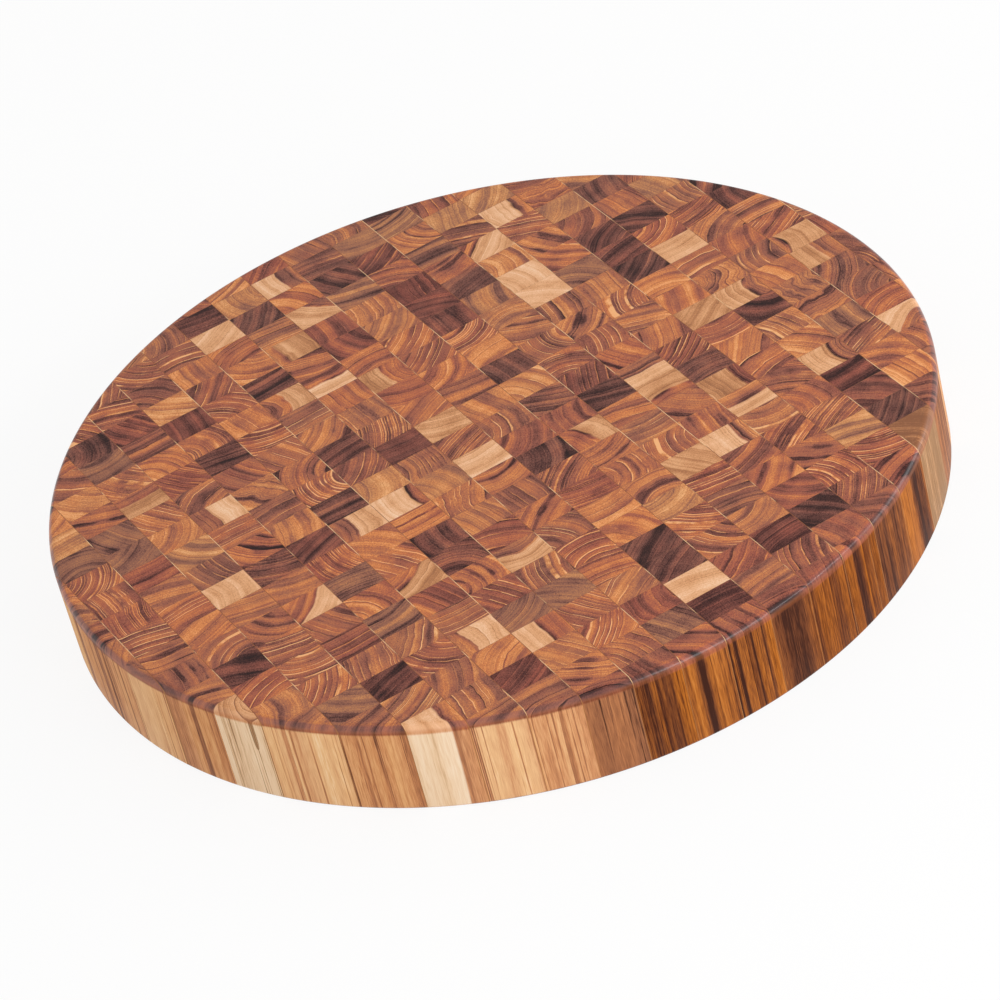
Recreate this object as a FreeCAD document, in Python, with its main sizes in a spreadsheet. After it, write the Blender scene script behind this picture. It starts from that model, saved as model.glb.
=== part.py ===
"""Round end-grain chopping block.

Short upright blocks of wood are glued end to end into strips, the strips are glued side by side into
a slab, and the slab is turned to a round with eased edges. The pieces are the blocks, kept strip by
strip, the long glue lines between the strips and the short ones between the blocks of a strip.

Frame: millimetres, +Z up, origin at the middle of the underside. The strips run along Y and lie side
by side along X.
"""

import FreeCAD, Part
import Sketcher
import math
import os

# The driving sizes, in millimetres.
SIZES = {
    "board_diameter": 457.2,
    "board_thickness": 50.8,
    "top_round": 4.0,
    "base_round": 1.5,
    "wide_strip_width": 25.5,
    "strip_glue": 0.3,
    "block_length": 20.1,
    "block_glue": 0.1,
    "least_block": 5.0,
    "cut_overrun": 5.0,
}

# The strips are numbered from the one at -X. One is wider than the rest, and the round leaves the
# first and the last as narrow offcuts, whose widths are shares of a full strip's.
STRIP_COUNT = 20
WIDE_STRIP = 11
FIRST_OFFCUT_SHARE = 0.351
LAST_OFFCUT_SHARE = 0.436

# How far each strip slid along its length when it was glued up, as shares of the spacing of the blocks.
SLIDE_SHARES = (
    -0.06, -0.11, 0.12, 0.05, 0.04, 0.07, 0.01, 0.01, -0.02, 0.01,
    -0.08, -0.08, 0.01, 0.13, 0.16, 0.13, 0.13, 0.19, 0.14, 0.1,
)

# Formulas on the sheet that several pieces share. The wide strip, the glue lines and the two offcuts
# come off the board's width, and the other strips, all alike, share what is left.
RADIUS = "(Sizes.board_diameter / 2)"
PAST_RIM = f"({RADIUS} + Sizes.cut_overrun)"
BLOCK_SPACING = "(Sizes.block_length + Sizes.block_glue)"
FULL_STRIPS = STRIP_COUNT - 3
STRIP_WIDTH = (
    f"((Sizes.board_diameter - Sizes.wide_strip_width - {STRIP_COUNT - 1} * Sizes.strip_glue)"
    f" / ({FULL_STRIPS} + {FIRST_OFFCUT_SHARE} + {LAST_OFFCUT_SHARE}))"
)


def size_sheet(doc):
    """The sheet of driving sizes, one named cell each."""
    sheet = doc.addObject("Spreadsheet::Sheet", "Sizes")
    for row, (name, value) in enumerate(SIZES.items(), start=1):
        sheet.set(f"A{row}", name)
        sheet.set(f"B{row}", str(value))
        sheet.setAlias(f"B{row}", name)
    doc.recompute()
    return sheet


def bind(piece, formulas):
    """Ties a piece's sizes and place to the sheet."""
    for path, formula in formulas.items():
        piece.setExpression(path, formula)


def round_edge(disc, height):
    """The name of the disc's edge that lies closest to a height all the way round."""
    boxes = [edge.BoundBox for edge in disc.Shape.Edges]
    away = [max(abs(box.ZMin - height), abs(box.ZMax - height)) for box in boxes]
    return f"Edge{away.index(min(away)) + 1}"


def board_blank(doc, sheet):
    """The outer form that every piece is trimmed to: a disc with a rounded top and base edge."""
    body = doc.addObject("PartDesign::Body", "board_blank")
    sketch = body.newObject("Sketcher::SketchObject", "board_round")
    plane = next(part for part in body.Origin.OriginFeatures if part.Role == "XY_Plane")
    sketch.AttachmentSupport = [(plane, "")]
    sketch.MapMode = "FlatFace"
    middle, upward = FreeCAD.Vector(0, 0, 0), FreeCAD.Vector(0, 0, 1)
    circle = sketch.addGeometry(Part.Circle(middle, upward, sheet.board_diameter / 2))
    sketch.addConstraint(Sketcher.Constraint("Coincident", circle, 3, -1, 1))
    across = sketch.addConstraint(Sketcher.Constraint("Diameter", circle, sheet.board_diameter))
    bind(sketch, {f"Constraints[{across}]": "Sizes.board_diameter"})

    disc = body.newObject("PartDesign::Pad", "board_disc")
    disc.Profile = sketch
    bind(disc, {"Length": "Sizes.board_thickness"})
    doc.recompute()

    top = body.newObject("PartDesign::Fillet", "top_edge")
    top.Base = (disc, [round_edge(disc, sheet.board_thickness)])
    bind(top, {"Radius": "Sizes.top_round"})
    doc.recompute()

    base = body.newObject("PartDesign::Fillet", "base_edge")
    base.Base = (top, [round_edge(top, 0)])
    bind(base, {"Radius": "Sizes.base_round"})
    doc.recompute()
    return body


def upright_box(doc, name, left, width, front, depth):
    """A box that stands through the board, past its top and its underside."""
    box = doc.addObject("Part::Box", name)
    bind(box, {
        "Length": width,
        "Width": depth,
        "Height": "Sizes.board_thickness + 2 * Sizes.cut_overrun",
        "Placement.Base.x": left,
        "Placement.Base.y": front,
        "Placement.Base.z": "-Sizes.cut_overrun",
    })
    return box


def long_box(doc, name, left, width):
    """A box that stands through the board from rim to rim along Y."""
    return upright_box(doc, name, left, width, f"-{PAST_RIM}", f"2 * {PAST_RIM}")


def trimmed(doc, name, kind, base, tool):
    """A piece cut to shape by another."""
    piece = doc.addObject(kind, name)
    piece.Base = base
    piece.Tool = tool
    piece.Refine = False
    return piece


def strip_edges(number):
    """A strip's left edge and width, as formulas on the sheet. The offcuts reach past the rim."""
    if number == 1:
        return f"-{PAST_RIM}", f"Sizes.cut_overrun + {FIRST_OFFCUT_SHARE} * {STRIP_WIDTH}"
    wide_before = int(number > WIDE_STRIP)
    full_before = number - 2 - wide_before
    left = (
        f"({full_before} + {FIRST_OFFCUT_SHARE}) * {STRIP_WIDTH} + {wide_before} * Sizes.wide_strip_width"
        f" + {number - 1} * Sizes.strip_glue - {RADIUS}"
    )
    if number == STRIP_COUNT:
        return left, f"{LAST_OFFCUT_SHARE} * {STRIP_WIDTH} + Sizes.cut_overrun"
    return left, "Sizes.wide_strip_width" if number == WIDE_STRIP else STRIP_WIDTH


def joint_places(sheet, left, width, slide_share):
    """Where the blocks of a strip meet, counted in spacings of the blocks from the strip's middle."""
    radius = sheet.evalExpression(RADIUS)
    spacing = sheet.evalExpression(BLOCK_SPACING)
    start = sheet.evalExpression(left)
    end = sheet.evalExpression(f"{left} + {width}")
    nearest = 0 if start < 0 < end else min(abs(start), abs(end))
    reach = math.sqrt(radius**2 - nearest**2) - sheet.least_block
    most = math.ceil(radius / spacing)
    return [n for n in range(-most, most) if abs(n + 1 / 2 + slide_share) * spacing < reach]


def make_strip(doc, sheet, blank, number):
    """A strip's blocks, and the short glue lines between them, trimmed to the board's round."""
    name = f"strip_{number:02d}"
    left, width = strip_edges(number)
    slide_share = SLIDE_SHARES[number - 1]
    places = joint_places(sheet, left, width, slide_share)
    films = []
    for place in places:
        front = f"{BLOCK_SPACING} * ({place} + 1/2 + {slide_share}) - Sizes.block_glue / 2"
        films.append(upright_box(doc, f"{name}_film", left, width, front, "Sizes.block_glue"))
    joints = doc.addObject("Part::Compound", f"{name}_joints")
    joints.Links = films
    stick = long_box(doc, f"{name}_stick", left, width)
    strip = trimmed(doc, f"{name}_round", "Part::Common", stick, blank)
    blocks = trimmed(doc, f"{name}_blocks", "Part::Cut", strip, joints)
    blocks.Label = name
    glue = trimmed(doc, f"{name}_glue", "Part::Common", joints, strip)
    glue.Label = f"block_glue_{number:02d}"
    return [(blocks, len(places) + 1), (glue, len(places))]


def make_strip_glue(doc, blank, number):
    """The long glue line at a strip's right side."""
    name = f"strip_glue_{number:02d}"
    left, width = strip_edges(number)
    film = long_box(doc, f"{name}_film", f"{left} + {width}", "Sizes.strip_glue")
    glue = trimmed(doc, f"{name}_round", "Part::Common", film, blank)
    glue.Label = name
    return [(glue, 1)]


def make_board(doc, sheet):
    """Every piece of the board, each with the number of solids that it has to hold."""
    blank = board_blank(doc, sheet)
    pieces = []
    for number in range(1, STRIP_COUNT + 1):
        pieces += make_strip(doc, sheet, blank, number)
    for number in range(1, STRIP_COUNT):
        pieces += make_strip_glue(doc, blank, number)
    return pieces


def check(doc, pieces):
    """Stops before anything is written if a feature failed or a piece isn't whole."""
    for feature in doc.Objects:
        if "Invalid" in feature.State or "Error" in feature.State:
            raise ValueError(f"{feature.Name} did not build: {feature.State}")
    for piece, solids in pieces:
        shape = piece.Shape
        if shape.isNull() or not shape.isValid():
            raise ValueError(f"{piece.Label} has no valid shape")
        if len(shape.Solids) != solids:
            raise ValueError(f"{piece.Label} has {len(shape.Solids)} solids, not {solids}")


doc = FreeCAD.newDocument("chopping_block")
sheet = size_sheet(doc)
pieces = make_board(doc, sheet)
doc.recompute()
check(doc, pieces)
os.makedirs("parts", exist_ok=True)
for piece, solids in pieces:
    piece.Shape.exportStep(f"parts/{piece.Label}.step")
    print(f"{piece.Label}: {solids} solids, {piece.Shape.Volume:.1f} mm3")
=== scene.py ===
"""Looks of the round end-grain chopping block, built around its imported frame.

The turned round is cut into the frame's strips and blocks, every block gets its own piece of teak, and
the glue lines between them lie where the frame has them. Lengths are metres unless a name says mm.
"""

import math
import random

import bmesh
import bpy
from mathutils import Matrix, Vector


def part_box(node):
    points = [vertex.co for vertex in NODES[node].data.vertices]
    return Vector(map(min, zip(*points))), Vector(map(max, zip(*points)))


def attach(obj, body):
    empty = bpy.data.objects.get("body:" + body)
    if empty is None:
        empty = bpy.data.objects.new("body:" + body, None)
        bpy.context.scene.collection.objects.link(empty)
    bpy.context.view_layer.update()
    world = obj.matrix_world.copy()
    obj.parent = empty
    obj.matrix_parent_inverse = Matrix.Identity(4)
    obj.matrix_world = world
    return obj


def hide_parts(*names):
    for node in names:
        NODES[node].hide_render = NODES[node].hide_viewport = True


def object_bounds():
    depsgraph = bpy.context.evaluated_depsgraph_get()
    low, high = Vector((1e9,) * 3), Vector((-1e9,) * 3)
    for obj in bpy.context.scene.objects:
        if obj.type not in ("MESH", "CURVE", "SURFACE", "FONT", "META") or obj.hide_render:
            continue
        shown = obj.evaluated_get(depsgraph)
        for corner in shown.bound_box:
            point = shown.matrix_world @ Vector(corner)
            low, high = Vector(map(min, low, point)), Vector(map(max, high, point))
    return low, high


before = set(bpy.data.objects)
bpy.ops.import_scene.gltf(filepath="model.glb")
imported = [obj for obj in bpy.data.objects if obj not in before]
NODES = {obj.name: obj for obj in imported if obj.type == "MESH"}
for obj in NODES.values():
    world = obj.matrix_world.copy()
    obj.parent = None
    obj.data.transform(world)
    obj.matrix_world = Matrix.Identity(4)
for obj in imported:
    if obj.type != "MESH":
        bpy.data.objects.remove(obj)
cad_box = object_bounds()

MM = 0.001
LONG_GLUE = sorted(name for name in NODES if name.startswith("strip_glue"))
SHORT_GLUE = sorted(name for name in NODES if name.startswith("block_glue"))
STRIPS = sorted(set(NODES) - set(LONG_GLUE) - set(SHORT_GLUE))
ACROSS_STRIPS, ALONG_STRIPS = 0, 1

# The turned round. Its width and height come from the frame, and its edges are eased as the solids are.
BOARD_LOW, BOARD_HIGH = cad_box
BOARD_RADIUS = (BOARD_HIGH.x - BOARD_LOW.x) / 2
BOARD_HEIGHT = BOARD_HIGH.z - BOARD_LOW.z
TOP_ROUND = 4 * MM
BASE_ROUND = 1.5 * MM
RIM_STEPS = 360
TOP_STEPS = 10
BASE_STEPS = 5
WELD = 0.001 * MM


def linear(colour):
    """A colour written as sRGB hex, such as b5763f, as linear red, green, blue and alpha."""
    parts = [int(colour[i:i + 2], 16) / 255 for i in (0, 2, 4)]
    return [p / 12.92 if p <= 0.04045 else ((p + 0.055) / 1.055) ** 2.4 for p in parts] + [1.0]


def add(tree, kind, inputs=(), out=0, stops=(), **settings):
    """Adds a node with its settings and colour stops, fills or links its inputs, and gives an output.

    Inputs are listed in the node's own order, or go by their places or names. An out of None gives all
    outputs.
    """
    made = tree.nodes.new(kind)
    for name, value in settings.items():
        setattr(made, name, value)
    for number, (position, colour) in enumerate(stops):
        marks = made.color_ramp.elements
        mark = marks[number] if number < len(marks) else marks.new(position)
        mark.position = position
        mark.color = linear(colour)
    placed = inputs if isinstance(inputs, dict) else dict(enumerate(inputs))
    for place, value in placed.items():
        if isinstance(value, bpy.types.NodeSocket):
            tree.links.new(value, made.inputs[place])
        else:
            made.inputs[place].default_value = value
    return made.outputs if out is None or not made.outputs else made.outputs[out]


# Settings that come up often: a Map Range with gentle ends, a noise along one line, and a Mix of two
# colours, which has its share at place 0 and its colours at 6 and 7. A Map Range lists its value, the
# span that this comes from and the span that it goes to, which is 0 to 1 where none is given.
GENTLE = {"interpolation_type": "SMOOTHSTEP"}
ALONG_A_LINE = {"noise_dimensions": "1D"}
OF_COLOURS = {"out": 2, "data_type": "RGBA"}


def new_material(name):
    """A material with an empty node tree."""
    material = bpy.data.materials.new(name)
    material.use_nodes = True
    material.node_tree.nodes.clear()
    return material, material.node_tree


def place_in_mm(tree):
    """Where a point lies, in millimetres."""
    place = add(tree, "ShaderNodeTexCoord", out="Object")
    return add(tree, "ShaderNodeVectorMath", {0: place, "Scale": 1 / MM}, operation="SCALE")


def facing_up(tree):
    """How far a spot faces up or down: 1 on the top and the underside, and 0 on the wall."""
    normal = add(tree, "ShaderNodeNewGeometry", out="Normal")
    upward = add(tree, "ShaderNodeSeparateXYZ", [normal], out="Z")
    return add(tree, "ShaderNodeMath", [upward], operation="ABSOLUTE")


# Teak, sawn across the grain, sanded and oiled. The eye sees each block's years as arcs about its own
# pith: late wood that darkens towards a thin dark line, then a thin pale one where the next year starts,
# and now and then a chocolate band. Sapwood past the outermost heartwood is cream. On the wall the same
# years are upright streaks, paler and yellower than on the ends, because side grain drinks less oil.
END_GRAIN = {
    "russet": (
        (0.0, "240d0d"), (0.15, "471f1b"), (0.3, "6e3a31"), (0.45, "955041"),
        (0.55, "aa5e47"), (0.65, "c16f45"), (0.8, "dc8a4e"), (1.0, "f6b278"),
    ),
    "tan": (
        (0.0, "200e0d"), (0.15, "40221d"), (0.3, "684038"), (0.45, "8d5b4a"),
        (0.55, "a0694f"), (0.65, "b67850"), (0.8, "d0915c"), (1.0, "ecb882"),
    ),
    "sap": ((0.0, "8a583b"), (0.3, "be8155"), (0.5, "dca070"), (0.7, "eeb78b"), (1.0, "fdd8b6")),
}
LONG_GRAIN = {
    "russet": (
        (0.0, "361408"), (0.15, "5c2a0c"), (0.25, "763c10"), (0.35, "985316"),
        (0.45, "b6681e"), (0.6, "cf8438"), (0.75, "e09a50"), (1.0, "f2c084"),
    ),
    "tan": (
        (0.0, "4c2c1e"), (0.2, "946044"), (0.4, "b87c56"), (0.55, "d49669"),
        (0.7, "e4b080"), (0.85, "f0c28e"), (1.0, "f8d8b0"),
    ),
    "sap": (
        (0.0, "9a7350"), (0.15, "b88a62"), (0.3, "dab28a"),
        (0.5, "eecba4"), (0.7, "f8dcbc"), (1.0, "ffeeda"),
    ),
}

# What the teak reads of the block that a point belongs to. Each vector is an attribute of the points.
SAWN = {
    "pith": ("pith_x", "pith_y", "seed"),
    "growth": ("ring_mm", "sway_mm", "pith_mm"),
    "marks": ("late", "dark_line", "pale_line"),
    "colour": ("tone", "tan", "band"),
    "sapwood": ("sap_mm", "heart_edge", "sap_tone"),
    "side": ("side_tone", "side_tan", "soak_mm"),
}

# The grain stands upright, so patterns are this many times as long along it. Each block has its own
# patch of them, which is its seed times the step away.
GRAIN_LENGTH = 15
PATCH_STEP = (31.7, 17.3, 53.9)


def read_block(tree):
    """What a point's block was sawn from, where the point lies, and where it lies in the grain."""
    wood = {}
    for name, parts in SAWN.items():
        wood[name] = add(tree, "ShaderNodeAttribute", out="Vector", attribute_name=name)
        wood.update(zip(parts, add(tree, "ShaderNodeSeparateXYZ", [wood[name]], out=None)))
    place = place_in_mm(tree)
    pressed = add(tree, "ShaderNodeVectorMath", (place, (1, 1, 1 / GRAIN_LENGTH)), operation="MULTIPLY")
    patch = add(tree, "ShaderNodeVectorMath", {0: PATCH_STEP, "Scale": wood["seed"]}, operation="SCALE")
    grain = add(tree, "ShaderNodeVectorMath", (pressed, patch))
    return wood, place, grain


# Over what length the years wander from a true circle.
WANDER_MM = 16.0
MID_NOISE = (0.5, 0.5, 0.5)


def measure_reach(tree, wood, place, grain):
    """The level way from the pith to a point, with the slow wander of real years, and its length."""
    wander = {"Vector": grain, "Scale": 1 / WANDER_MM, "Detail": 2.0, "Roughness": 0.55}
    wander = add(tree, "ShaderNodeTexNoise", wander, out="Color")
    wander = add(tree, "ShaderNodeVectorMath", (wander, MID_NOISE), operation="SUBTRACT")
    wander = add(tree, "ShaderNodeVectorMath", {0: wander, "Scale": wood["sway_mm"]}, operation="SCALE")
    way = add(tree, "ShaderNodeVectorMath", (place, wood["pith"]), operation="SUBTRACT")
    way = add(tree, "ShaderNodeVectorMath", (way, wander))
    way = add(tree, "ShaderNodeVectorMath", (way, (1, 1, 0)), operation="MULTIPLY")
    reach = add(tree, "ShaderNodeVectorMath", [way], out="Value", operation="LENGTH")
    return way, reach


# Wide and narrow years come in spells: how many spells to a year, and by how many years a spell can
# shift the count. The step keeps the years of one block from having the luck of another's.
SPELLS_A_YEAR = 0.37
SPELL_SHIFT = 2.4
LUCK_STEP = 13.7


def count_years(tree, wood, reach):
    """How far into its year a point lies, from 0 to 1, and three kinds of luck of that year."""
    seed = wood["seed"]
    years = add(tree, "ShaderNodeMath", (reach, wood["ring_mm"]), operation="DIVIDE")
    spell = add(tree, "ShaderNodeMath", (years, SPELLS_A_YEAR, seed), operation="MULTIPLY_ADD")
    spell = add(tree, "ShaderNodeTexNoise", {"W": spell, "Scale": 1.0, "Detail": 1.0}, **ALONG_A_LINE)
    years = add(tree, "ShaderNodeMath", (spell, SPELL_SHIFT, years), operation="MULTIPLY_ADD")
    year = add(tree, "ShaderNodeMath", [years], operation="FLOOR")
    season = add(tree, "ShaderNodeMath", [years], operation="FRACT")
    draw = add(tree, "ShaderNodeMath", (seed, LUCK_STEP, year), operation="MULTIPLY_ADD")
    luck = add(tree, "ShaderNodeTexWhiteNoise", {"W": draw}, out="Color", **ALONG_A_LINE)
    return season, add(tree, "ShaderNodeSeparateXYZ", [luck], out=None)


# Late wood sets in late or early in its year, by luck, and the year is paler or darker with it.
LATE_ONSET = (0.75, 0.1)
YEAR_TONE = 0.04

# The dark line that ends a year and the pale one that starts the next are about 0.3 mm wide, and are
# drawn wider so that they show. Each is full up to its first width and gone at its second. Not every
# year has the luck for them, and they fade out along it.
DARK_LINE_MM = (0.3, 0.6)
PALE_LINE_MM = (0.4, 0.6)
DARK_LUCK = (0.4, 1.0)
PALE_LUCK = (0.0, 0.6)
FADE_MM = 9.0
FADE_SPAN = (0.36, 0.54)


def draw_years(tree, wood, grain, season, lucks):
    """The tone of a point's year, its late wood, and the dark and pale lines at its ends."""
    tone_luck, dark_luck, pale_luck = lucks
    year_tone = add(tree, "ShaderNodeMapRange", (tone_luck, 0.0, 1.0, YEAR_TONE, -YEAR_TONE))
    onset = add(tree, "ShaderNodeMapRange", (tone_luck, 0.0, 1.0, *LATE_ONSET))
    late = add(tree, "ShaderNodeMapRange", (season, onset, 1.0, 0.0, wood["late"]), **GENTLE)

    fade = add(tree, "ShaderNodeTexNoise", {"Vector": grain, "Scale": 1 / FADE_MM, "Detail": 2.0})
    fade = add(tree, "ShaderNodeMapRange", (fade, *FADE_SPAN))
    since_mm = add(tree, "ShaderNodeMath", (season, wood["ring_mm"]), operation="MULTIPLY")
    until_mm = add(tree, "ShaderNodeMath", (wood["ring_mm"], since_mm), operation="SUBTRACT")
    lines = []
    for away_mm, line_mm, luck, luck_span, strength in (
        (until_mm, DARK_LINE_MM, dark_luck, DARK_LUCK, wood["dark_line"]),
        (since_mm, PALE_LINE_MM, pale_luck, PALE_LUCK, wood["pale_line"]),
    ):
        share = add(tree, "ShaderNodeMapRange", (luck, *luck_span, 0.0, strength))
        share = add(tree, "ShaderNodeMath", (share, fade), operation="MULTIPLY")
        lines.append(add(tree, "ShaderNodeMapRange", (away_mm, *line_mm, share, 0.0), **GENTLE))
    return year_tone, late, *lines


# Paler and darker zones follow the years loosely, because a stain that doesn't is added to them. The
# darkest turn to chocolate bands in places.
ZONE_MM = 7.0
STAIN_MM = 12.0
STAIN_SHARE = 0.7
ZONE_SPAN = (0.5, 1.03)
ZONE_ENDS = (1.2, -0.6)
BAND_SPAN = (0.92, 1.08)


def stain_zones(tree, wood, grain, reach):
    """How pale a point's zone is, how strong the chocolate band is there, and the stain alone."""
    zone = add(tree, "ShaderNodeMath", (reach, 1 / ZONE_MM, wood["seed"]), operation="MULTIPLY_ADD")
    zone = add(tree, "ShaderNodeTexNoise", {"W": zone, "Scale": 1.0, "Detail": 1.5}, **ALONG_A_LINE)
    stain = add(tree, "ShaderNodeTexNoise", {"Vector": grain, "Scale": 1 / STAIN_MM, "Detail": 2.0})
    dark = add(tree, "ShaderNodeMath", (stain, STAIN_SHARE, zone), operation="MULTIPLY_ADD")
    pale = add(tree, "ShaderNodeMapRange", (dark, *ZONE_SPAN, *ZONE_ENDS))
    band = add(tree, "ShaderNodeMapRange", (dark, *BAND_SPAN, 0.0, wood["band"]), **GENTLE)
    return pale, band, stain


# Slow mottling, rows of vessels along the years, rays across them, fibres, and pores, which are dots on
# the ends and dashes on the wall, where dark streaks show too. All but the mottling are finer than a
# pixel, and are drawn coarser so that they show. A tone is how far each goes to either side, and pores
# only go down.
MOTTLE_MM = 6.0
ROW_MM = 1.1
RAY_MM = 0.8
FIBRE_MM = 0.5
PORE_MM = 1.0
STREAK_MM = 1.3
MOTTLE_TONE = 0.1
ROW_TONE = 0.05
RAY_TONE = 0.02
FIBRE_TONE = 0.14
PORE_TONE = 0.12
MOST_OF_NOISE = (0.25, 0.75)
PORE_SPAN = (0.15, 0.4)
STREAK_SPAN = (0.6, 0.7)
STREAK_LENGTH = 10


def draw_fine_figure(tree, wood, grain, way, reach):
    """Mottling, rays, fibres and pores in one tone, and by themselves the rows, fibres and streaks."""
    seed = wood["seed"]
    mottle = add(tree, "ShaderNodeTexNoise", {"Vector": grain, "Scale": 1 / MOTTLE_MM, "Detail": 3.0})
    mottle = add(tree, "ShaderNodeMapRange", (mottle, *MOST_OF_NOISE, -MOTTLE_TONE, MOTTLE_TONE))

    rows = add(tree, "ShaderNodeMath", (reach, 1 / ROW_MM, seed), operation="MULTIPLY_ADD")
    rows = add(tree, "ShaderNodeTexNoise", {"W": rows, "Scale": 1.0, "Detail": 1.0}, **ALONG_A_LINE)
    rows = add(tree, "ShaderNodeMapRange", (rows, *MOST_OF_NOISE, -ROW_TONE, ROW_TONE))

    along_x, along_y, _ = add(tree, "ShaderNodeSeparateXYZ", [way], out=None)
    angle = add(tree, "ShaderNodeMath", (along_y, along_x), operation="ARCTAN2")
    rays = add(tree, "ShaderNodeMath", (angle, wood["pith_mm"]), operation="MULTIPLY")
    rays = add(tree, "ShaderNodeMath", (rays, 1 / RAY_MM, seed), operation="MULTIPLY_ADD")
    rays = add(tree, "ShaderNodeTexNoise", {"W": rays, "Scale": 1.0, "Detail": 2.0}, **ALONG_A_LINE)
    rays = add(tree, "ShaderNodeMapRange", (rays, *MOST_OF_NOISE, -RAY_TONE, RAY_TONE))

    fibre = add(tree, "ShaderNodeTexNoise", {"Vector": grain, "Scale": 1 / FIBRE_MM, "Detail": 2.0})
    fibre = add(tree, "ShaderNodeMapRange", (fibre, *MOST_OF_NOISE, -FIBRE_TONE, FIBRE_TONE))
    pores = add(tree, "ShaderNodeTexVoronoi", {"Vector": grain, "Scale": 1 / PORE_MM}, out="Distance")
    pores = add(tree, "ShaderNodeMapRange", (pores, *PORE_SPAN, PORE_TONE, 0.0))

    drawn_out = add(tree, "ShaderNodeVectorMath", (grain, (1, 1, 1 / STREAK_LENGTH)), operation="MULTIPLY")
    streaks = add(tree, "ShaderNodeTexNoise", {"Vector": drawn_out, "Scale": 1 / STREAK_MM, "Detail": 1.0})
    streaks = add(tree, "ShaderNodeMapRange", (streaks, *STREAK_SPAN, 0.0, wood["dark_line"]))

    fine = add(tree, "ShaderNodeMath", (mottle, rays))
    fine = add(tree, "ShaderNodeMath", (fine, fibre))
    fine = add(tree, "ShaderNodeMath", (fine, pores), operation="SUBTRACT")
    return fine, rows, fibre, streaks


# Sapwood starts within a millimetre. The outermost heartwood before it is dark where the stain is.
SAP_START_MM = (-0.5, 0.5)
HEART_EDGE_MM = (-3.5, -0.5)
HEART_EDGE_SPAN = (0.35, 0.6)


def find_sapwood(tree, wood, reach, stain):
    """How far a point is sapwood, from 0 to 1, and how dark the edge of the heartwood is there."""
    past_mm = add(tree, "ShaderNodeMath", (reach, wood["sap_mm"]), operation="SUBTRACT")
    sap = add(tree, "ShaderNodeMapRange", (past_mm, *SAP_START_MM, 0.0, 1.0), **GENTLE)
    share = add(tree, "ShaderNodeMapRange", (stain, *HEART_EDGE_SPAN, 0.0, wood["heart_edge"]))
    heart_edge = add(tree, "ShaderNodeMapRange", (past_mm, *HEART_EDGE_MM, 0.0, share), **GENTLE)
    return sap, heart_edge


# Oil soaks in through the ends, so the eased edge and a little of the wall below it are as dark as the
# ends, and the rest stays paler. That band is darkened further, partly for the soak and partly as painted
# shade along the rounded edge. Fibres draw it down unevenly. The spans are of how far a spot faces up.
SOAK_END_MM = 1.6
FIBRE_DRAW_MM = 0.5
SIDEWAYS_SPAN = (0.2, 0.6)
EASED_SPAN = (0.96, 0.8)
OFF_WALL_SPAN = (0.03, 0.25)


def find_oil(tree, wood, place, fibre):
    """How far a spot faces sideways, is dry wall, is soaked and painted-shade edge or wall, and is
    burnished edge.
    """
    facing = facing_up(tree)
    sideways = add(tree, "ShaderNodeMapRange", (facing, *SIDEWAYS_SPAN, 1.0, 0.0), **GENTLE)
    height_mm = add(tree, "ShaderNodeSeparateXYZ", [place], out="Z")
    depth_mm = add(tree, "ShaderNodeMath", (BOARD_HEIGHT / MM, height_mm), operation="SUBTRACT")
    depth_mm = add(tree, "ShaderNodeMath", (fibre, FIBRE_DRAW_MM, depth_mm), operation="MULTIPLY_ADD")
    dry_mm = add(tree, "ShaderNodeMath", (wood["soak_mm"], SOAK_END_MM))
    dry = add(tree, "ShaderNodeMapRange", (depth_mm, wood["soak_mm"], dry_mm, 0.0, 1.0), **GENTLE)
    wall = add(tree, "ShaderNodeMath", (sideways, dry), operation="MULTIPLY")
    eased = add(tree, "ShaderNodeMapRange", (facing, *EASED_SPAN, 0.0, 1.0), **GENTLE)
    soak_and_shade = add(tree, "ShaderNodeMath", (eased, wall), operation="SUBTRACT", use_clamp=True)
    off_wall = add(tree, "ShaderNodeMapRange", (facing, *OFF_WALL_SPAN, 0.0, 1.0))
    burnished = add(tree, "ShaderNodeMath", (eased, off_wall), operation="MULTIPLY")
    return sideways, wall, soak_and_shade, burnished


def colour_wood(tree, grain_colours, heart_tone, tan, sap_tone, sap):
    """The colour of heartwood, from russet to tan, and of the sapwood over it."""
    russet = add(tree, "ShaderNodeValToRGB", [heart_tone], stops=grain_colours["russet"])
    tawny = add(tree, "ShaderNodeValToRGB", [heart_tone], stops=grain_colours["tan"])
    heart = add(tree, "ShaderNodeMix", {0: tan, 6: russet, 7: tawny}, **OF_COLOURS)
    cream = add(tree, "ShaderNodeValToRGB", [sap_tone], stops=grain_colours["sap"])
    return add(tree, "ShaderNodeMix", {0: sap, 6: heart, 7: cream}, **OF_COLOURS)


# A satin oiled surface, a little rougher in the pores and on the wall, and burnished on the eased edge.
FINE_SPAN = (-0.15, 0.15)
SATIN_ROUGHNESS = (0.55, 0.42)
WALL_ROUGHNESS = 0.15
EDGE_GLOSS = 0.55
EDGE_ROUGHNESS = 0.18
OIL_IOR = 1.5
OILED_SPECULAR = 0.12
RELIEF = 0.05 * MM
RELIEF_STRENGTH = 0.3


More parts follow.
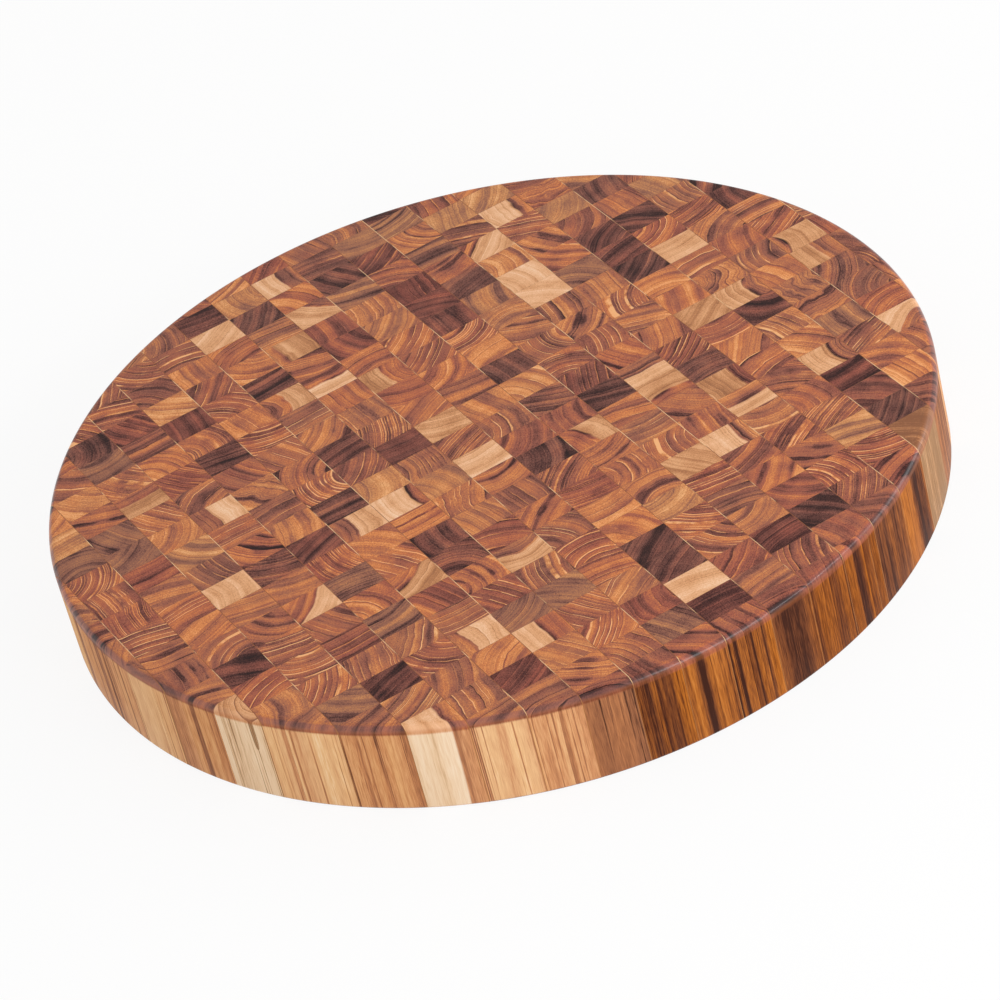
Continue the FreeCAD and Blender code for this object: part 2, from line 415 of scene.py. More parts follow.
def satin_surface(tree, colour, fine, wall, burnished):
    """The oiled surface of the wood, with the relief of its fine figure."""
    roughness = add(tree, "ShaderNodeMapRange", (fine, *FINE_SPAN, *SATIN_ROUGHNESS))
    roughness = add(tree, "ShaderNodeMath", (wall, WALL_ROUGHNESS, roughness), operation="MULTIPLY_ADD")
    gloss = add(tree, "ShaderNodeMath", (burnished, EDGE_GLOSS), operation="MULTIPLY")
    relief = {"Strength": RELIEF_STRENGTH, "Distance": RELIEF, "Height": fine}
    finish = {
        "Base Color": colour, "Roughness": roughness, "Normal": add(tree, "ShaderNodeBump", relief),
        "IOR": OIL_IOR, "Specular IOR Level": OILED_SPECULAR,
        "Coat Weight": gloss, "Coat Roughness": EDGE_ROUGHNESS, "Coat IOR": OIL_IOR,
    }
    return add(tree, "ShaderNodeBsdfPrincipled", finish)


# How much of the fine figure shows on the burnished edge, and of all figure on the wall. How far a pale
# zone lifts the tone, and takes the tan away on the ends and on the wall. How far oil and painted shade
# darken the edge.
EDGE_FIGURE = 0.35
WALL_FIGURE = 0.8
ZONE_TONE = 0.17
ZONE_TAN = -0.3
ZONE_SIDE_TAN = -0.1
SOAK_AND_SHADE_TONE = -0.15

# Where the oil thins out below the eased edge, the wood glows amber.
THIN_OIL = "b4642c"
THIN_OIL_SHARE = 0.3


def oiled_teak():
    """Heartwood and sapwood of teak, from each block's own pith, years and tone."""
    material, tree = new_material("oiled_end_grain_teak")
    wood, place, grain = read_block(tree)
    way, reach = measure_reach(tree, wood, place, grain)
    season, lucks = count_years(tree, wood, reach)
    year_tone, late, dark_line, pale_line = draw_years(tree, wood, grain, season, lucks)
    zone, band, stain = stain_zones(tree, wood, grain, reach)
    fine, rows, fibre, streaks = draw_fine_figure(tree, wood, grain, way, reach)
    sap, heart_edge = find_sapwood(tree, wood, reach, stain)
    sideways, wall, soak_and_shade, burnished = find_oil(tree, wood, place, fibre)

    # All of it on one scale from dark to pale.
    calm = add(tree, "ShaderNodeMapRange", (burnished, 0.0, 1.0, 1.0, EDGE_FIGURE))
    fine = add(tree, "ShaderNodeMath", (fine, calm), operation="MULTIPLY")
    zone_tone = add(tree, "ShaderNodeMath", (zone, ZONE_TONE), operation="MULTIPLY")
    broad = add(tree, "ShaderNodeMath", (year_tone, zone_tone))
    broad = add(tree, "ShaderNodeMath", (broad, rows))
    broad = add(tree, "ShaderNodeMath", (broad, late), operation="SUBTRACT")
    broad = add(tree, "ShaderNodeMath", (broad, fine))
    evened = add(tree, "ShaderNodeMapRange", (wall, 0.0, 1.0, 1.0, WALL_FIGURE))
    shade = add(tree, "ShaderNodeMath", (broad, evened, pale_line), operation="MULTIPLY_ADD")
    dark_lines = add(tree, "ShaderNodeMath", (streaks, wall, dark_line), operation="MULTIPLY_ADD")
    shade = add(tree, "ShaderNodeMath", (shade, dark_lines), operation="SUBTRACT")
    stains = add(tree, "ShaderNodeMath", (band, heart_edge))
    heart = add(tree, "ShaderNodeMath", (shade, stains), operation="SUBTRACT")
    heart_end = add(tree, "ShaderNodeMath", (heart, wood["tone"]))
    # Painted shade: the soaked band is darkened past the end colour, partly for the oil and partly to
    # stand in for shade on the rounded edge.
    heart_end = add(tree, "ShaderNodeMath", (soak_and_shade, SOAK_AND_SHADE_TONE, heart_end), operation="MULTIPLY_ADD")
    heart_side = add(tree, "ShaderNodeMath", (heart, wood["side_tone"]))
    sap_tone = add(tree, "ShaderNodeMath", (shade, wood["sap_tone"]))

    # Colours on the ends and on the wall, and where the oil thins out between them.
    lean = {"operation": "MULTIPLY_ADD", "use_clamp": True}
    tan = add(tree, "ShaderNodeMath", (zone, ZONE_TAN, wood["tan"]), **lean)
    side_tan = add(tree, "ShaderNodeMath", (zone, ZONE_SIDE_TAN, wood["side_tan"]), **lean)
    ends = colour_wood(tree, END_GRAIN, heart_end, tan, sap_tone, sap)
    sides = colour_wood(tree, LONG_GRAIN, heart_side, side_tan, sap_tone, sap)
    colour = add(tree, "ShaderNodeMix", {0: wall, 6: ends, 7: sides}, **OF_COLOURS)
    thin = add(tree, "ShaderNodeMath", (sideways, wall), operation="SUBTRACT")
    thin = add(tree, "ShaderNodeMath", (thin, THIN_OIL_SHARE), operation="MULTIPLY")
    colour = add(tree, "ShaderNodeMix", {0: thin, 6: colour, 7: linear(THIN_OIL)}, **OF_COLOURS)
    surface = satin_surface(tree, colour, fine, wall, burnished)
    add(tree, "ShaderNodeOutputMaterial", {"Surface": surface})
    return material


# Wood glue, set hard and sanded flush. The eye sees a hair line, pale where it is thick enough. On the
# wall it is as tan as the wood.
GLUE_THICK_MM = 21.0
GLUE_THICK_SPAN = (0.5, 0.6)
GLUE_ON_WALL = "a87040"
GLUE_IOR = 1.48
GLUE_ROUGHNESS = 0.5
GLUE_SPECULAR = 0.12


def cured_glue(name, pale_colour, dark_colour):
    """Glue that has its pale colour where it is thick and its dark one where it is thin."""
    material, tree = new_material(name)
    thick = {"Vector": place_in_mm(tree), "Scale": 1 / GLUE_THICK_MM, "Detail": 3.0}
    thick = add(tree, "ShaderNodeTexNoise", thick)
    thick = add(tree, "ShaderNodeMapRange", (thick, *GLUE_THICK_SPAN))
    ends = add(tree, "ShaderNodeValToRGB", [thick], stops=((0.0, dark_colour), (1.0, pale_colour)))
    colour = {0: facing_up(tree), 6: linear(GLUE_ON_WALL), 7: ends}
    finish = {
        "Base Color": add(tree, "ShaderNodeMix", colour, **OF_COLOURS), "Roughness": GLUE_ROUGHNESS,
        "IOR": GLUE_IOR, "Specular IOR Level": GLUE_SPECULAR,
    }
    surface = add(tree, "ShaderNodeBsdfPrincipled", finish)
    add(tree, "ShaderNodeOutputMaterial", {"Surface": surface})
    return material


# Kinds of block: how often each turns up by chance, and the ranges that one block's values are drawn
# from. Tone runs from dark, 0, to pale, 1. Tan is how far the colour leans from russet to tan. The rest
# are the width of a year, how strong the late wood, the dark and pale lines and the chocolate bands are,
# and how far the years sway. The sided kinds also have a tone and a tan for the wall, and some of the
# sap kinds a tone of sapwood.
KINDS = {
    "russet": dict(
        often=30, tone=(0.52, 0.68), tan=(0.0, 0.6), ring_mm=(2.6, 6.0), late=(0.03, 0.15),
        dark_line=(0.1, 0.4), pale_line=(0.05, 0.5), band=(0.0, 0.16), sway_mm=(2.0, 5.0),
    ),
    "amber": dict(
        often=16, tone=(0.66, 0.8), tan=(0.0, 0.4), ring_mm=(3.0, 7.0), late=(0.04, 0.15),
        dark_line=(0.1, 0.4), pale_line=(0.0, 0.25), band=(0.0, 0.15), sway_mm=(2.0, 5.0),
    ),
    "honey": dict(
        often=8, tone=(0.64, 0.76), tan=(0.7, 1.0), ring_mm=(3.2, 8.0), late=(0.04, 0.15),
        dark_line=(0.05, 0.2), pale_line=(0.0, 0.12), band=(0.0, 0.15), sway_mm=(2.0, 5.0),
    ),
    "dusky": dict(
        often=15, tone=(0.4, 0.52), tan=(0.0, 0.8), ring_mm=(2.0, 5.0), late=(0.03, 0.12),
        dark_line=(0.05, 0.25), pale_line=(0.05, 0.45), band=(0.0, 0.12), sway_mm=(1.5, 4.0),
    ),
    "lined": dict(
        often=17, tone=(0.5, 0.62), tan=(0.0, 0.5), ring_mm=(2.2, 4.2), late=(0.04, 0.14),
        dark_line=(0.15, 0.3), pale_line=(0.5, 0.7), band=(0.0, 0.1), sway_mm=(1.5, 3.5),
    ),
    "fine_lined": dict(
        often=6, tone=(0.46, 0.58), tan=(0.0, 0.5), ring_mm=(1.4, 2.0), late=(0.04, 0.1),
        dark_line=(0.1, 0.2), pale_line=(0.2, 0.35), band=(0.0, 0.15), sway_mm=(1.5, 3.0),
    ),
    "banded": dict(
        often=5, tone=(0.56, 0.68), tan=(0.0, 0.5), ring_mm=(2.8, 5.0), late=(0.06, 0.16),
        dark_line=(0.15, 0.35), pale_line=(0.0, 0.2), band=(0.2, 0.34), sway_mm=(2.0, 5.0),
    ),
    "umber": dict(
        often=2, tone=(0.27, 0.38), tan=(0.2, 0.9), ring_mm=(2.0, 5.0), late=(0.03, 0.1),
        dark_line=(0.05, 0.15), pale_line=(0.0, 0.1), band=(0.05, 0.12), sway_mm=(1.5, 3.5),
    ),
    "olive": dict(
        often=1, tone=(0.48, 0.58), tan=(1.0, 1.2), ring_mm=(2.4, 5.0), late=(0.04, 0.14),
        dark_line=(0.1, 0.25), pale_line=(0.0, 0.15), band=(0.1, 0.2), sway_mm=(1.5, 3.5),
    ),
    "half_sap": dict(
        often=1, tone=(0.54, 0.68), tan=(0.0, 0.6), ring_mm=(2.6, 5.0), late=(0.04, 0.14),
        dark_line=(0.05, 0.25), pale_line=(0.0, 0.15), band=(0.0, 0.15), sway_mm=(3.0, 8.0),
    ),
    "sap": dict(
        often=0, tone=(0.55, 0.82), tan=(0.5, 1.0), ring_mm=(2.6, 5.0), late=(0.03, 0.12),
        dark_line=(0.05, 0.25), pale_line=(0.0, 0.1), band=(0.0, 0.0), sway_mm=(1.5, 4.0),
    ),
    "streaked_sap": dict(
        often=0, tone=(0.55, 0.82), tan=(0.5, 1.0), ring_mm=(2.6, 5.0), late=(0.15, 0.25),
        dark_line=(0.35, 0.5), pale_line=(0.0, 0.1), band=(0.0, 0.0), sway_mm=(1.5, 4.0),
        sap_tone=(0.38, 0.48),
    ),
    "dull_sap": dict(
        often=0, tone=(0.55, 0.82), tan=(0.5, 1.0), ring_mm=(2.6, 5.0), late=(0.15, 0.25),
        dark_line=(0.35, 0.5), pale_line=(0.0, 0.1), band=(0.0, 0.0), sway_mm=(1.5, 4.0),
        sap_tone=(0.0, 0.1),
    ),
    "burl": dict(
        often=0, tone=(0.6, 0.72), tan=(0.2, 0.7), ring_mm=(2.6, 4.0), late=(0.08, 0.18),
        dark_line=(0.15, 0.3), pale_line=(0.0, 0.2), band=(0.15, 0.3), sway_mm=(12.0, 18.0),
    ),
    "pale_sided": dict(
        often=0, tone=(0.52, 0.66), tan=(0.2, 0.7), ring_mm=(2.4, 5.0), late=(0.04, 0.12),
        dark_line=(0.2, 0.45), pale_line=(0.0, 0.1), band=(0.0, 0.15), sway_mm=(2.0, 4.0),
        side_tone=(0.72, 0.82), side_tan=(0.8, 1.0),
    ),
    "tan_sided": dict(
        often=0, tone=(0.5, 0.64), tan=(0.3, 0.7), ring_mm=(2.4, 5.0), late=(0.04, 0.12),
        dark_line=(0.2, 0.4), pale_line=(0.0, 0.1), band=(0.1, 0.3), sway_mm=(2.0, 4.0),
        side_tone=(0.56, 0.63), side_tan=(0.7, 0.9),
    ),
    "brown_sided": dict(
        often=0, tone=(0.46, 0.58), tan=(0.3, 0.7), ring_mm=(3.0, 7.0), late=(0.04, 0.12),
        dark_line=(0.15, 0.35), pale_line=(0.0, 0.1), band=(0.0, 0.2), sway_mm=(2.0, 4.0),
        side_tone=(0.3, 0.42), side_tan=(0.6, 0.9),
    ),
    "red_sided": dict(
        often=0, tone=(0.5, 0.64), tan=(0.0, 0.4), ring_mm=(3.0, 7.0), late=(0.05, 0.15),
        dark_line=(0.1, 0.25), pale_line=(0.0, 0.1), band=(0.1, 0.3), sway_mm=(2.0, 4.0),
        side_tone=(0.33, 0.44), side_tan=(0.0, 0.2),
    ),
    "dark_sided": dict(
        often=0, tone=(0.38, 0.5), tan=(0.2, 0.6), ring_mm=(3.0, 7.0), late=(0.03, 0.1),
        dark_line=(0.1, 0.2), pale_line=(0.0, 0.1), band=(0.0, 0.1), sway_mm=(2.0, 4.0),
        side_tone=(0.22, 0.29), side_tan=(0.1, 0.5),
    ),
    "rust_sided": dict(
        often=0, tone=(0.5, 0.64), tan=(0.0, 0.4), ring_mm=(3.0, 7.0), late=(0.05, 0.15),
        dark_line=(0.1, 0.25), pale_line=(0.0, 0.1), band=(0.0, 0.2), sway_mm=(2.0, 4.0),
        side_tone=(0.27, 0.32), side_tan=(0.0, 0.1),
    ),
}

# Ranges for every block, unless its kind has its own.
EVERY_KIND = {
    "seed": (1, 40), "sap_off_middle_mm": (-7, 1), "heart_edge": (0.15, 0.5),
    "soak_mm": (3.5, 4.5), "sap_tone": (0.32, 0.72), "side_tone": (0.3, 0.85), "side_tan": (0.0, 1.0),
}

# Where the sapwood starts: at the pith, near the middle of the block, or past any block.
ALL_SAP = ("sap", "streaked_sap", "dull_sap")
PART_SAP = "half_sap"
NO_SAP_MM = 1000.0

# Most blocks come from near their pith: the nearest, how much further it can lie, and how rare that is.
NEAREST_PITH_MM = 20
PITH_SPREAD_MM = 130
FAR_PITH_RARITY = 1.6

# Blocks that stand out on the real board, by strip and by place along it from -Y, sorted by kind. All
# others fall by chance.
STANDOUTS = {
    "sap": "4.8 8.21 10.11 10.13 11.3 13.7 14.16 14.17 16.10 17.13",
    "half_sap": (
        "4.13 5.1 5.7 5.12 7.4 7.10 8.4 8.11 8.17 9.7 9.17 9.19 10.16 10.20 10.22 12.10 14.7 14.10"
        " 14.11 14.19 15.7 15.8 15.19 17.6 17.10 19.3 19.7 19.8"
    ),
    "streaked_sap": "2.1",
    "dull_sap": "17.1 17.2",
    "umber": (
        "3.4 4.16 5.3 6.10 6.17 7.2 7.11 8.9 8.14 8.18 8.22 9.13 9.21 11.2 11.4 11.5 11.10"
        " 11.21 12.14 12.17 12.18 13.3 13.11 13.18 13.23 14.3 16.13 16.14 16.15 17.3 17.5 17.9"
        " 17.15 17.17 19.11 19.12"
    ),
    "olive": "2.9 3.10 3.11 4.2 4.15 6.6 6.8 8.5 9.5 10.2 12.22 15.15 18.6",
    "banded": "4.6 5.10 8.2 8.15 9.18 10.10 12.7 12.9 14.8 14.9 14.12 15.17",
    "lined": "4.3 4.4 4.5 5.11 6.4 7.8 9.4 11.16 12.4 12.5",
    "fine_lined": "4.14 5.14 6.9 6.16 15.2 15.5 16.4 16.6",
    "amber": "5.15 7.16 7.19 11.6 11.7 14.18",
    "burl": "6.13 16.18 17.11 18.7 18.8",
    "pale_sided": "1.1 1.2 3.1 3.2 6.1",
    "tan_sided": "1.3 1.4 1.5 2.2 2.3 4.1 7.1 19.1 19.2",
    "brown_sided": "8.1 18.1 18.2",
    "red_sided": "10.1 11.1 16.1",
    "rust_sided": "13.1 14.1 14.2",
    "dark_sided": "9.1 12.1 15.1",
}
KIND_OF = {block: kind for kind, blocks in STANDOUTS.items() for block in blocks.split()}

# Which way the pith of some cream blocks lies, in degrees from +X towards +Y. The cream lies opposite.
PITH_HEADINGS = {
    "2.1": 0, "4.13": 90, "5.1": 0, "5.7": 135, "5.12": 180, "7.4": 180, "7.10": 180,
    "8.4": 0, "8.11": 0, "8.17": 180, "9.7": 90, "9.17": 90, "9.19": 180,
    "10.16": 0, "10.20": 45, "10.22": 0, "12.10": 200, "14.7": 0, "14.10": 270, "14.11": 90,
    "14.19": 135, "15.7": 90, "15.8": 0, "15.19": 0,
    "17.6": 0, "17.10": 0, "19.3": 300, "19.7": 0, "19.8": 180,
}


def saw_block(strip, number, middle):
    """What one block was sawn from, as the vectors that the teak reads."""
    block = f"{int(strip[-2:])}.{number}"
    luck = random.Random(f"block {block}")
    by_chance = luck.choices(list(KINDS), [kind["often"] for kind in KINDS.values()])[0]
    kind = KIND_OF.get(block, by_chance)
    pith_mm = NEAREST_PITH_MM + PITH_SPREAD_MM * luck.random() ** FAR_PITH_RARITY
    heading = luck.uniform(0, math.tau)
    if block in PITH_HEADINGS:
        heading = math.radians(PITH_HEADINGS[block])
    own = {key: luck.uniform(*span) for key, span in KINDS[kind].items() if key != "often"}
    drawn = {key: luck.uniform(*span) for key, span in EVERY_KIND.items()} | own
    drawn["pith_mm"] = pith_mm
    drawn["pith_x"] = middle.x / MM + pith_mm * math.cos(heading)
    drawn["pith_y"] = middle.y / MM + pith_mm * math.sin(heading)
    drawn["sap_mm"] = NO_SAP_MM
    if kind in ALL_SAP:
        drawn["sap_mm"] = 0.0
    if kind == PART_SAP:
        drawn["sap_mm"] = pith_mm + drawn["sap_off_middle_mm"]
    return {vector: [drawn[part] for part in parts] for vector, parts in SAWN.items()}


def board_profile():
    """The outline of the round from the underside up to the top, as radii and heights."""
    quarter = math.pi / 2
    profile = []
    for step in range(BASE_STEPS + 1):
        turn = quarter * (step / BASE_STEPS - 1)
        inset = BASE_ROUND * (1 - math.cos(turn))
        profile.append((BOARD_RADIUS - inset, BASE_ROUND * (1 + math.sin(turn))))
    for step in range(TOP_STEPS + 1):
        turn = quarter * step / TOP_STEPS
        inset = TOP_ROUND * (1 - math.cos(turn))
        profile.append((BOARD_RADIUS - inset, BOARD_HEIGHT - TOP_ROUND * (1 - math.sin(turn))))
    return profile


def turned_round():
    """The round before it is cut up: flat top and underside, upright wall and eased edges."""
    disc = bmesh.new()
    turns = [math.tau * step / RIM_STEPS for step in range(RIM_STEPS)]
    rings = []
    for radius, height in board_profile():
        rings.append([disc.verts.new((radius * math.cos(a), radius * math.sin(a), height)) for a in turns])
    for lower, upper in zip(rings, rings[1:]):
        for this in range(RIM_STEPS):
            after = (this + 1) % RIM_STEPS
            face = disc.faces.new((lower[this], lower[after], upper[after], upper[this]))
            face.smooth = True
    disc.faces.new(reversed(rings[0]))
    disc.faces.new(rings[-1])
    return disc


def saw(solid, axis, low, high):
    """A closed slice of a solid between two places along an axis. A place past the rim cuts nothing."""
    piece = solid.copy()
    for place, side in ((low, -1), (high, 1)):
        if abs(place) > BOARD_RADIUS - WELD:
            continue
        point, outward = Vector(), Vector()
        point[axis] = place
        outward[axis] = side
        everything = piece.verts[:] + piece.edges[:] + piece.faces[:]
        bmesh.ops.bisect_plane(
            piece, geom=everything, dist=WELD, plane_co=point, plane_no=outward, clear_outer=True
        )
        open_edges = [edge for edge in piece.edges if edge.is_boundary]
        for face in bmesh.ops.holes_fill(piece, edges=open_edges)["faces"]:
            face.smooth = False
    return piece


def block_spans(strip):
    """Where each block of a strip starts and ends along Y: the stretches that the frame's faces cover."""
    mesh = NODES[strip].data
    places = [[mesh.vertices[corner].co.y for corner in face.vertices] for face in mesh.polygons]
    spans = []
    for front, back in sorted((min(place), max(place)) for place in places):
        if spans and front < spans[-1][1] + WELD:
            spans[-1][1] = max(back, spans[-1][1])
        else:
            spans.append([front, back])
    return spans


# The map for textures. Its charts lie in rows with a gap between them, and the sides that another piece
# covers are drawn small. Glue films are drawn wider than they are, so that they get pixels of their own.
TEXTURE_PIXELS = 1024
GAP_PIXELS = 3
CHART_GAP = GAP_PIXELS / TEXTURE_PIXELS
COVERED_SCALE = 0.12
SHRINK = 0.98
LONG_FILM_WIDEN = (10, 1)
SHORT_FILM_WIDEN = (1, 30)

# A face whose normal is steeper than this belongs to the top or the underside.
STEEP = 0.5


def lay_flat(face, heading, widen):
    """Which side of its solid a face is on, and its corners laid flat. Thin films are widened."""
    places = [corner.co for corner in face.verts]
    normal = face.normal
    if abs(normal.z) > STEEP:
        return ("top" if normal.z > 0 else "base"), [(p.x * widen[0], p.y * widen[1]) for p in places]
    if face.smooth:
        turns = [math.remainder(math.atan2(p.y, p.x) - heading, math.tau) for p in places]
        return "rim", [(BOARD_RADIUS * max(widen) * turn, p.z) for turn, p in zip(turns, places)]
    axis = 0 if abs(normal.x) > abs(normal.y) else 1
    side = ("right" if normal.x > 0 else "left", "back" if normal.y > 0 else "front")[axis]
    return side, [(COVERED_SCALE * p[1 - axis] * widen[1 - axis], COVERED_SCALE * p.z) for p in places]


def arrange(sizes):
    """A scale and places for charts on a unit square: rows, tallest first, as large as fits."""
    order = sorted(sizes, key=lambda chart: (-sizes[chart][1], chart))
    scale = (1 - 2 * CHART_GAP) / max(max(size) for size in sizes.values())
    while True:
        places = {}
        across, up, tallest = CHART_GAP, CHART_GAP, 0.0
        for chart in order:
            wide, tall = (scale * side for side in sizes[chart])
            if across + wide > 1 - CHART_GAP:
                across, up, tallest = CHART_GAP, up + tallest + CHART_GAP, 0.0
            places[chart] = (across, up)
            across += wide + CHART_GAP
            tallest = max(tallest, tall)
        if up + tallest <= 1 - CHART_GAP:
            return scale, places
        scale *= SHRINK


def map_corners(solids, widen):
    """Places on a texture for every face's corners, in the order of the faces."""
    charted = []
    for number, solid in enumerate(solids):
        solid.normal_update()
        middle = sum((corner.co for corner in solid.verts), Vector())
        heading = math.atan2(middle.y, middle.x)
        for face in solid.faces:
            side, flat = lay_flat(face, heading, widen)
            charted.append(((number, side), flat))
    corners = {}
    for chart, flat in charted:
        corners.setdefault(chart, []).extend(flat)
    lows = {chart: [min(axis) for axis in zip(*flat)] for chart, flat in corners.items()}
    highs = {chart: [max(axis) for axis in zip(*flat)] for chart, flat in corners.items()}
    sizes = {chart: [high - low for low, high in zip(lows[chart], highs[chart])] for chart in corners}
    scale, places = arrange(sizes)
    mapped = []
    for chart, flat in charted:
        for corner in flat:
            for axis in (0, 1):
                mapped.append(places[chart][axis] + scale * (corner[axis] - lows[chart][axis]))
    return mapped


def join_solids(name, solids, woods, material, widen=(1, 1)):
    """One mesh object of several closed solids, with what each was sawn from on its points."""
    points, faces, smooth, sawn = [], [], [], {}
    mapped = map_corners(solids, widen)
    for solid, wood in zip(solids, woods):
        solid.verts.index_update()
        first = len(points)
        points += [corner.co[:] for corner in solid.verts]
        faces += [[first + corner.index for corner in face.verts] for face in solid.faces]
        smooth += [face.smooth for face in solid.faces]
        for key, value in wood.items():
            sawn.setdefault(key, []).extend(value * len(solid.verts))
        solid.free()
    mesh = bpy.data.meshes.new(name)
    mesh.from_pydata(points, [], faces)
    mesh.polygons.foreach_set("use_smooth", smooth)
    sawn_edges = {key for face in mesh.polygons if not face.use_smooth for key in face.edge_keys}
    mesh.edges.foreach_set("use_edge_sharp", [edge.key in sawn_edges for edge in mesh.edges])
    mesh.uv_layers.new(name="OFBake").data.foreach_set("uv", mapped)
    for key, values in sawn.items():
        mesh.attributes.new(key, "FLOAT_VECTOR", "POINT").data.foreach_set("vector", values)
    mesh.materials.append(material)
    piece = bpy.data.objects.new(name, mesh)
    bpy.context.scene.collection.objects.link(piece)
    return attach(piece, "root")


def make_strip(strip, disc, teak):
    """The blocks of a strip in one piece, and the glue films between them."""
    low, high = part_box(strip)
    stick = saw(disc, ACROSS_STRIPS, low.x, high.x)
    spans = block_spans(strip)
    blocks, woods = [], []
    for number, (front, back) in enumerate(spans, start=1):
        start = -BOARD_RADIUS if number == 1 else front
        end = BOARD_RADIUS if number == len(spans) else back
        blocks.append(saw(stick, ALONG_STRIPS, start, end))
        middle = Vector(((low.x + high.x) / 2, (front + back) / 2))
        woods.append(saw_block(strip, number, middle))
    films = [saw(stick, ALONG_STRIPS, back, front) for (_, back), (front, _) in zip(spans, spans[1:])]
    stick.free()
    piece = join_solids(f"{strip}_blocks", blocks, woods, teak)
    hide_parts(strip)
    return films


def make_glue_lines(name, films, nodes, glue, widen):
    """All glue films of one kind in one piece."""
    piece = join_solids(name, films, [{}] * len(films), glue, widen)
    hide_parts(*nodes)


def make_board():
    """The blocks, strip by strip, and the glue lines between them."""
    teak = oiled_teak()
    disc = turned_round()
    short_films = []
    for strip in STRIPS:
        short_films += make_strip(strip, disc, teak)
    long_films = []
    for line in LONG_GLUE:
        low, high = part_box(line)
        long_films.append(saw(disc, ACROSS_STRIPS, low.x, high.x))
    disc.free()
    pale_glue = cured_glue("cured_glue_sanded_flush", pale_colour="efc795", dark_colour="8d5535")
    stained_glue = cured_glue("cured_glue_stained_by_oil", pale_colour="a87450", dark_colour="6e4632")
    make_glue_lines("strip_glue_lines", long_films, LONG_GLUE, pale_glue, LONG_FILM_WIDEN)
    make_glue_lines("block_glue_lines", short_films, SHORT_GLUE, stained_glue, SHORT_FILM_WIDEN)


def looked_at(tree):
    """1 where the camera, a gloss or a clear piece looks, and 0 for the light that falls on the board."""
    looks = add(tree, "ShaderNodeLightPath", out="Is Camera Ray")
    for other in ("Is Glossy Ray", "Is Transmission Ray"):
        ray = add(tree, "ShaderNodeLightPath", out=other)
        looks = add(tree, "ShaderNodeMath", (looks, ray), operation="MAXIMUM")
    return looks


# White paper. The camera sees it white, with the board's shadow on it, and the light that it throws up
# at the wall is a grey paper's.
FLOOR_REACH = 8.0
WHITE = "ffffff"
PAPER_SEEN = "fcfbfa"
PAPER_LIT = "c4c3c1"
PAPER_GLOW = 0.88


def make_floor():
    """A flat sheet of white paper under the board, which runs on past the picture."""
    left, right = -FLOOR_REACH, FLOOR_REACH
    corners = [(left, left, 0), (right, left, 0), (right, right, 0), (left, right, 0)]
    mesh = bpy.data.meshes.new("floor")
    mesh.from_pydata(corners, [], [(0, 1, 2, 3)])
    material, tree = new_material("white_paper_sweep")
    seen = looked_at(tree)
    paper = {0: seen, 6: linear(PAPER_LIT), 7: linear(PAPER_SEEN)}
    paper = add(tree, "ShaderNodeMix", paper, **OF_COLOURS)
    paper = add(tree, "ShaderNodeBsdfDiffuse", {"Color": paper})
    glow_share = add(tree, "ShaderNodeMath", (seen, PAPER_GLOW), operation="MULTIPLY")
    glow = add(tree, "ShaderNodeEmission", {"Color": linear(WHITE), "Strength": 1.0})
    surface = add(tree, "ShaderNodeMixShader", (glow_share, paper, glow))
    add(tree, "ShaderNodeOutputMaterial", {"Surface": surface})
    mesh.materials.append(material)
    floor = bpy.data.objects.new("floor", mesh)
    bpy.context.scene.collection.objects.link(floor)


# How bright the light tent is, near the floor and overhead, and between which heights it changes: 0 is
# level and 1 straight up.
TENT_LEVELS = (1.48, 0.49)
TENT_HEIGHTS = (0.35, 0.6)


def make_world():
    """A light tent, brighter near the floor, and a white backdrop where the camera or a gloss looks."""
    world = bpy.data.worlds.new("studio")
    bpy.context.scene.world = world
    world.use_nodes = True
    tree = world.node_tree
    tree.nodes.clear()
    heading = add(tree, "ShaderNodeTexCoord", out="Generated")
    height = add(tree, "ShaderNodeSeparateXYZ", [heading], out="Z")
    level = add(tree, "ShaderNodeMapRange", (height, *TENT_HEIGHTS, *TENT_LEVELS), **GENTLE)
    tent = add(tree, "ShaderNodeBackground", {"Color": linear(WHITE), "Strength": level})
    backdrop = add(tree, "ShaderNodeBackground", {"Color": linear(WHITE), "Strength": 1.0})
    surface = add(tree, "ShaderNodeMixShader", (looked_at(tree), tent, backdrop))
    add(tree, "ShaderNodeOutputWorld", {"Surface": surface})


def direction(azimuth, elevation):
    """The way from the board to a place round it. Azimuth 0 is at -Y and 90 at +X, both in degrees."""
    a, e = math.radians(azimuth), math.radians(elevation)
    return Vector((math.sin(a) * math.cos(e), -math.cos(a) * math.cos(e), math.sin(e)))


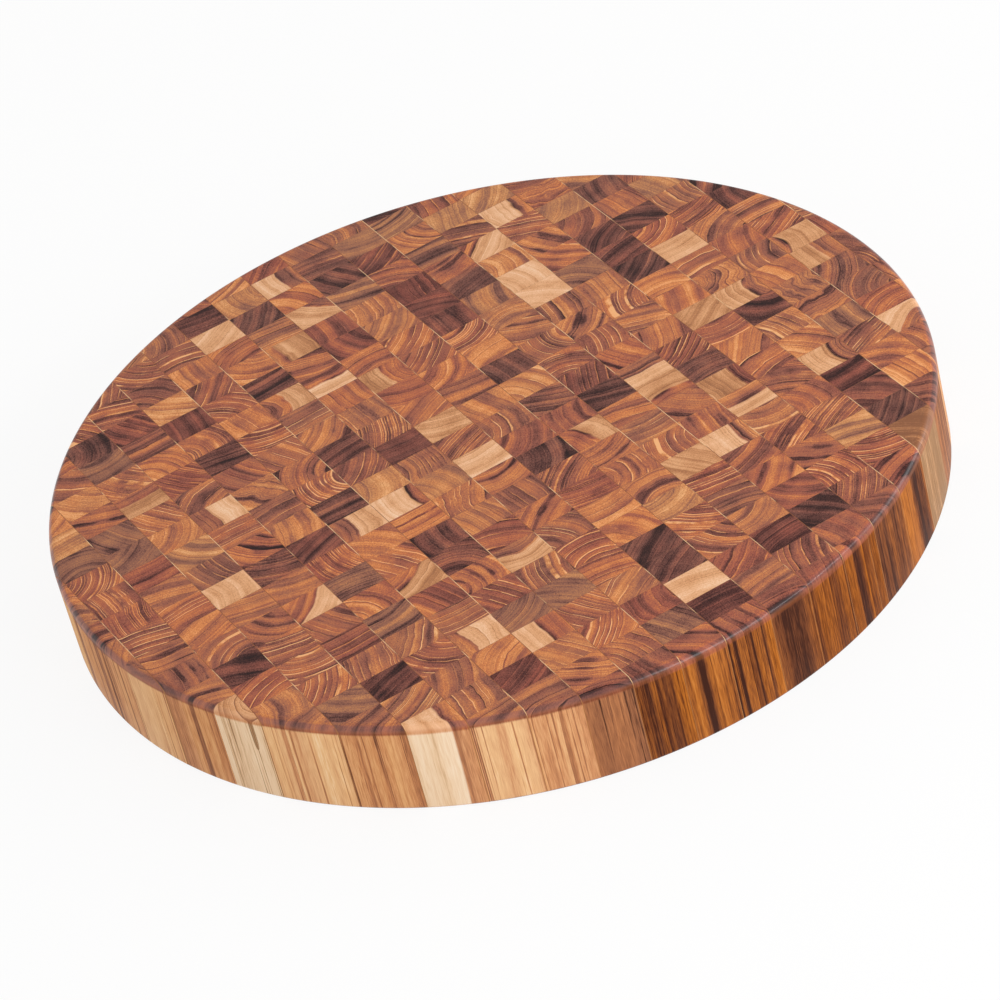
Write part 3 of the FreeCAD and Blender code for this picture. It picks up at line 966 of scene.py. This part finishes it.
# Soft lights on the camera's right. The strip draws a line of light along the eased edge.
SOFTBOX_DISTANCE = 2.0
SOFTBOX_WIDTH = 1.0
SOFTBOXES = {
    "front_softbox": dict(azimuth=12, elevation=22, height=0.7, watts=10.5),
    "edge_strip_light": dict(azimuth=43, elevation=30, height=0.25, watts=6.0),
    "right_softbox": dict(azimuth=76, elevation=20, height=0.7, watts=6.5),
}


def make_softbox(name, azimuth, elevation, height, watts):
    """A soft light that looks at the board and doesn't show itself to the camera."""
    lamp = bpy.data.lights.new(name, "AREA")
    lamp.shape = "RECTANGLE"
    lamp.size = SOFTBOX_WIDTH
    lamp.size_y = height
    lamp.energy = watts
    softbox = bpy.data.objects.new(name, lamp)
    softbox.visible_camera = False
    away = direction(azimuth, elevation)
    softbox.location = away * SOFTBOX_DISTANCE
    softbox.rotation_euler = away.to_track_quat("Z", "Y").to_euler()
    bpy.context.scene.collection.objects.link(softbox)


# The camera looks down at the board from far off, through a long lens, and is tipped on its axis.
CAMERA_AZIMUTH = -21.6
CAMERA_ELEVATION = 35.88
CAMERA_ROLL = -14.87
CAMERA_DISTANCE = 2.3067
CAMERA_AIM = Vector((0.0009, 0.0089, 0.0))
CAMERA_LENS_MM = 162.05
CAMERA_SENSOR_MM = 36.0


def make_camera():
    """The camera at the photograph's viewing angle."""
    lens = bpy.data.cameras.new("camera")
    lens.lens = CAMERA_LENS_MM
    lens.sensor_width = CAMERA_SENSOR_MM
    camera = bpy.data.objects.new("camera", lens)
    back = direction(CAMERA_AZIMUTH, CAMERA_ELEVATION)
    level = Vector((0, 0, 1)).cross(back).normalized()
    roll = Matrix.Rotation(math.radians(CAMERA_ROLL), 3, back)
    right = roll @ level
    turn = Matrix((right, back.cross(right), back)).transposed()
    camera.matrix_world = Matrix.Translation(CAMERA_AIM + back * CAMERA_DISTANCE) @ turn.to_4x4()
    bpy.context.scene.collection.objects.link(camera)
    bpy.context.scene.camera = camera


make_board()
make_floor()
make_world()
for softbox_name, softbox in SOFTBOXES.items():
    make_softbox(softbox_name, **softbox)
make_camera()
bpy.context.scene.view_settings.view_transform = "Standard"
